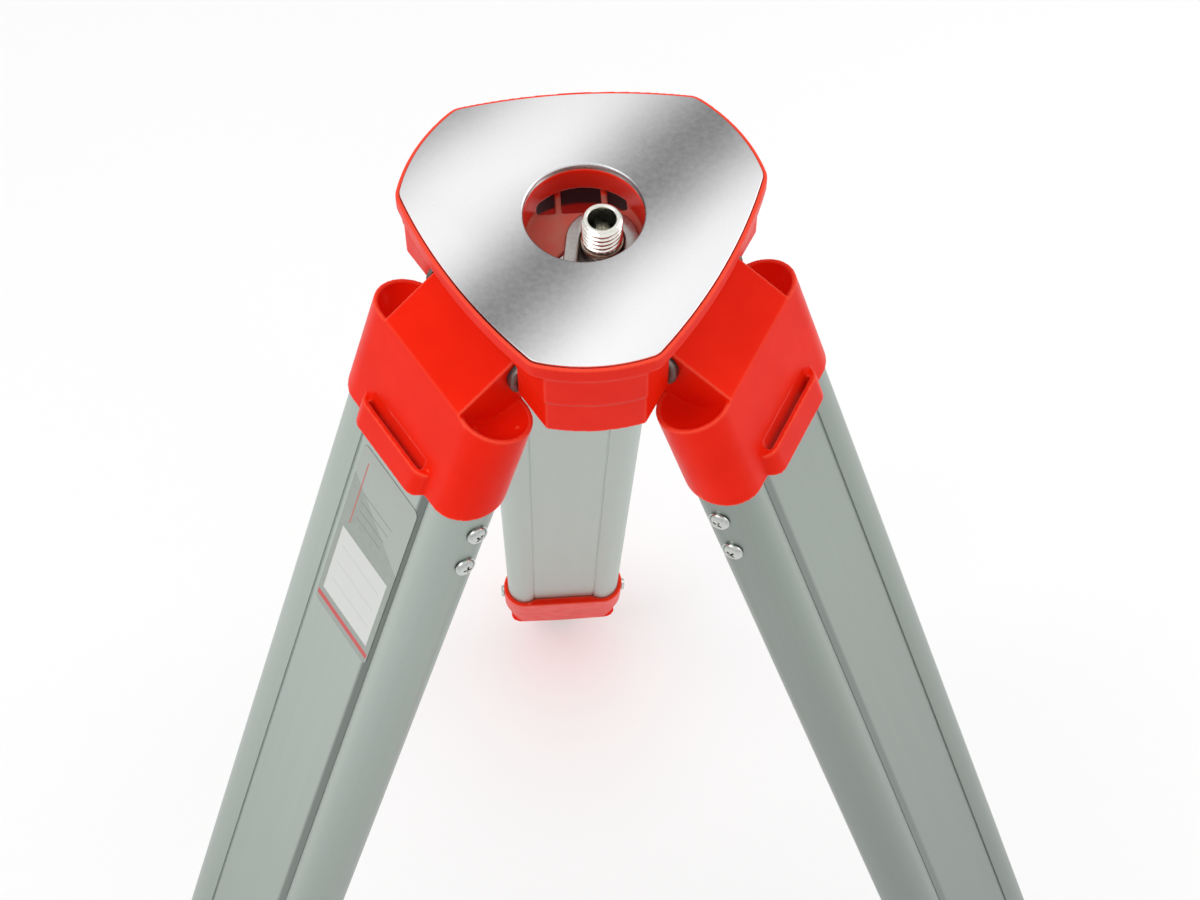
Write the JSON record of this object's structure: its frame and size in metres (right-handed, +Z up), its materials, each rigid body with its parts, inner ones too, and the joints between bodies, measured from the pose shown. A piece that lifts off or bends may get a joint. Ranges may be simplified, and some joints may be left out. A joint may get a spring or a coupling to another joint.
{
  "type": "surveyor tripod",
  "caption": "Light aluminium surveying tripod with a flat round-cornered head, hollow centring screw, hinged extrusion legs and sliding lower legs.",
  "frame": {"origin": "centre of the centring hole on the head plate's flat top face", "axes": "+Z up, square to the head plate; -Y towards the head corner that holds the arm pivot; the rear leg leans towards +Y"},
  "size_m": [0.8486, 0.7452, 1.1332],
  "materials": {
    "plate_aluminium": "satin polished",
    "red_enamel": "glossy",
    "anodised_aluminium": "satin anodised",
    "grey_steel": "plain",
    "bright_zinc": "bright zinc plate",
    "brass_bush": "turned",
    "black_plastic": "moulded",
    "blank_label": "printed film"
  },
  "bodies": {
    "head": {"head_plate": "plate_aluminium", "head_body": "red_enamel", "plate_screws": "bright_zinc", "hinge_bolts": "bright_zinc", "hinge_washers": "bright_zinc", "arm_pivot": "bright_zinc", "arm_pivot_washer": "bright_zinc", "arm_pivot_nut": "bright_zinc"},
    "arm": {"swing_arm": "grey_steel"},
    "slider": {"slide_bush": "brass_bush"},
    "screw": {"centring_screw": "bright_zinc", "knob_washer": "bright_zinc", "centring_knob": "black_plastic", "knob_set_screw": "bright_zinc"},
    "leg_left": {"leg_cap_left": "red_enamel", "hinge_bushes_left": "black_plastic", "upper_leg_left": "anodised_aluminium", "cap_screws_left": "bright_zinc", "clamp_housing_left": "red_enamel", "clamp_housing_screws_left": "bright_zinc", "clamp_pin_left": "grey_steel", "clamp_shoe_left": "black_plastic", "leg_label": "blank_label"},
    "shank_left": {"lower_leg_left": "anodised_aluminium", "leg_guide_left": "black_plastic", "foot_left": "red_enamel", "foot_rivets_left": "bright_zinc", "foot_spike_left": "grey_steel"},
    "lever_left": {"clamp_lever_left": "black_plastic"},
    "leg_right": {"leg_cap_right": "red_enamel", "hinge_bushes_right": "black_plastic", "upper_leg_right": "anodised_aluminium", "cap_screws_right": "bright_zinc", "clamp_housing_right": "red_enamel", "clamp_housing_screws_right": "bright_zinc", "clamp_pin_right": "grey_steel", "clamp_shoe_right": "black_plastic"},
    "shank_right": {"lower_leg_right": "anodised_aluminium", "leg_guide_right": "black_plastic", "foot_right": "red_enamel", "foot_rivets_right": "bright_zinc", "foot_spike_right": "grey_steel"},
    "lever_right": {"clamp_lever_right": "black_plastic"},
    "leg_rear": {"leg_cap_rear": "red_enamel", "hinge_bushes_rear": "black_plastic", "upper_leg_rear": "anodised_aluminium", "cap_screws_rear": "bright_zinc", "clamp_housing_rear": "red_enamel", "clamp_housing_screws_rear": "bright_zinc", "clamp_pin_rear": "grey_steel", "clamp_shoe_rear": "black_plastic"},
    "shank_rear": {"lower_leg_rear": "anodised_aluminium", "leg_guide_rear": "black_plastic", "foot_rear": "red_enamel", "foot_rivets_rear": "bright_zinc", "foot_spike_rear": "grey_steel"},
    "lever_rear": {"clamp_lever_rear": "black_plastic"}
  },
  "joints": [
    {"name": "arm_swing", "type": "hinge", "parent": "head", "child": "arm", "pos_m": [0, -0.046, -0.0175], "axis": [0, 0, 1], "range_deg": [-2.3, 8.6]},
    {"name": "screw_slide", "type": "slide", "parent": "arm", "child": "slider", "axis": [0.1504, 0.9886, 0], "range_m": [-0.0115, 0]},
    {"name": "screw_turn", "type": "hinge", "parent": "slider", "child": "screw", "pos_m": [0.00672, -0.00181, -0.03], "axis": [0, 0, 1], "continuous": true},
    {"name": "leg_left_spread", "type": "hinge", "parent": "head", "child": "leg_left", "pos_m": [-0.0394, -0.02275, -0.036], "axis": [-0.5, 0.866, 0], "range_deg": [-20, 15]},
    {"name": "shank_left_extend", "type": "slide", "parent": "leg_left", "child": "shank_left", "axis": [-0.2962, -0.171, -0.9397], "range_m": [0, 0.54]},
    {"name": "lever_left_open", "type": "hinge", "parent": "leg_left", "child": "lever_left", "pos_m": [-0.38257, -0.22088, -1.02092], "axis": [0.5, -0.866, 0], "range_deg": [0, 110]},
    {"name": "leg_right_spread", "type": "hinge", "parent": "head", "child": "leg_right", "pos_m": [0.0394, -0.02275, -0.036], "axis": [-0.5, -0.866, 0], "range_deg": [-20, 15]},
    {"name": "shank_right_extend", "type": "slide", "parent": "leg_right", "child": "shank_right", "axis": [0.2962, -0.171, -0.9397], "range_m": [0, 0.54]},
    {"name": "lever_right_open", "type": "hinge", "parent": "leg_right", "child": "lever_right", "pos_m": [0.38257, -0.22088, -1.02092], "axis": [0.5, 0.866, 0], "range_deg": [0, 110]},
    {"name": "leg_rear_spread", "type": "hinge", "parent": "head", "child": "leg_rear", "pos_m": [0, 0.0455, -0.036], "axis": [1, 0, 0], "range_deg": [-20, 15]},
    {"name": "shank_rear_extend", "type": "slide", "parent": "leg_rear", "child": "shank_rear", "axis": [0, 0.342, -0.9397], "range_m": [0, 0.54]},
    {"name": "lever_rear_open", "type": "hinge", "parent": "leg_rear", "child": "lever_rear", "pos_m": [0, 0.44175, -1.02092], "axis": [-1, 0, 0], "range_deg": [0, 110]}
  ]
}
